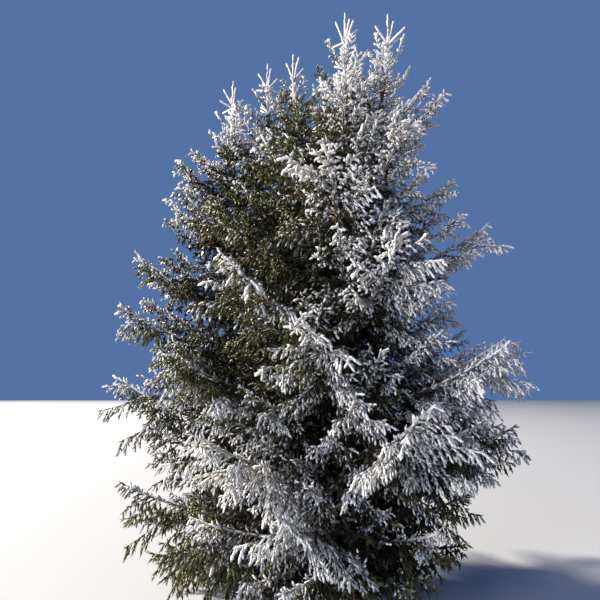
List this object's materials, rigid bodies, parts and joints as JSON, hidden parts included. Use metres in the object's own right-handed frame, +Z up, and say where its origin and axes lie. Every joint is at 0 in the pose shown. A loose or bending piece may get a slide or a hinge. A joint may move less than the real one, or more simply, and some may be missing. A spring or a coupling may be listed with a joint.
{
  "type": "norway spruce tree",
  "caption": "Young norway spruce clump, white with rime, with several upright stems from one flared foot, tiers of rising boughs and hanging sprays of needles down to the ground.",
  "frame": {"origin": "middle of the trunk's flat cut at ground level, where the tree stands in the ground", "axes": "+Z up, +X to the right and +Y away from someone who faces the rimed side of the crown"},
  "size_m": [3.8607, 3.39, 5.58],
  "materials": {
    "bark": "rough scaly reddish-brown bark",
    "rimed_needles": "needles and twigs coated white with rime",
    "green_needles": "dull olive-green needles with rime on their tips"
  },
  "bodies": {
    "root": {"bough_stem_left_1_1": "bark", "bough_stem_left_1_2": "bark", "bough_trunk_1_1": "bark", "bough_trunk_1_2": "bark", "bough_trunk_1_3": "bark", "bough_trunk_1_4": "bark", "foliage_stem_back_1_1": "green_needles", "foliage_stem_back_2_1": "green_needles", "foliage_stem_back_3_1": "green_needles", "foliage_stem_back_4_1": "green_needles", "foliage_stem_back_5_1": "green_needles", "foliage_stem_left_1_1": "green_needles", "foliage_stem_left_1_2": "green_needles", "foliage_stem_left_2_1": "green_needles", "foliage_stem_left_3_1": "green_needles", "foliage_stem_left_3_2": "green_needles", "foliage_stem_left_4_1": "green_needles", "foliage_stem_left_5_1": "green_needles", "foliage_stem_left_5_2": "green_needles", "foliage_stem_left_6_1": "green_needles", "foliage_stem_middle_1_1": "green_needles", "foliage_stem_middle_2_1": "green_needles", "foliage_stem_middle_3_1": "green_needles", "foliage_stem_middle_4_1": "green_needles", "foliage_stem_middle_5_1": "green_needles", "foliage_stem_twin_1_1": "rimed_needles", "foliage_trunk_1_1": "rimed_needles", "foliage_trunk_1_2": "rimed_needles", "foliage_trunk_1_3": "rimed_needles", "foliage_trunk_1_4": "rimed_needles", "foliage_trunk_2_1": "rimed_needles", "foliage_trunk_2_2": "rimed_needles", "foliage_trunk_2_3": "rimed_needles", "foliage_trunk_2_4": "rimed_needles", "foliage_trunk_3_1": "rimed_needles", "foliage_trunk_3_2": "rimed_needles", "foliage_trunk_3_3": "rimed_needles", "foliage_trunk_3_4": "rimed_needles", "foliage_trunk_4_1": "rimed_needles", "foliage_trunk_4_2": "rimed_needles", "foliage_trunk_4_3": "rimed_needles", "foliage_trunk_5_1": "rimed_needles", "foliage_trunk_5_2": "rimed_needles", "foliage_trunk_5_3": "rimed_needles", "foliage_trunk_6_1": "rimed_needles", "foliage_trunk_6_2": "rimed_needles", "foliage_trunk_6_3": "rimed_needles", "foliage_trunk_7_1": "rimed_needles", "foliage_trunk_7_2": "rimed_needles", "foliage_trunk_7_3": "rimed_needles", "stem_back": "bark", "stem_left": "bark", "stem_middle": "bark", "stem_twin": "bark", "top_stem_back": "rimed_needles", "top_stem_left": "rimed_needles", "top_stem_middle": "rimed_needles", "top_stem_twin": "rimed_needles", "top_trunk": "rimed_needles", "trunk": "bark"}
  },
  "joints": []
}
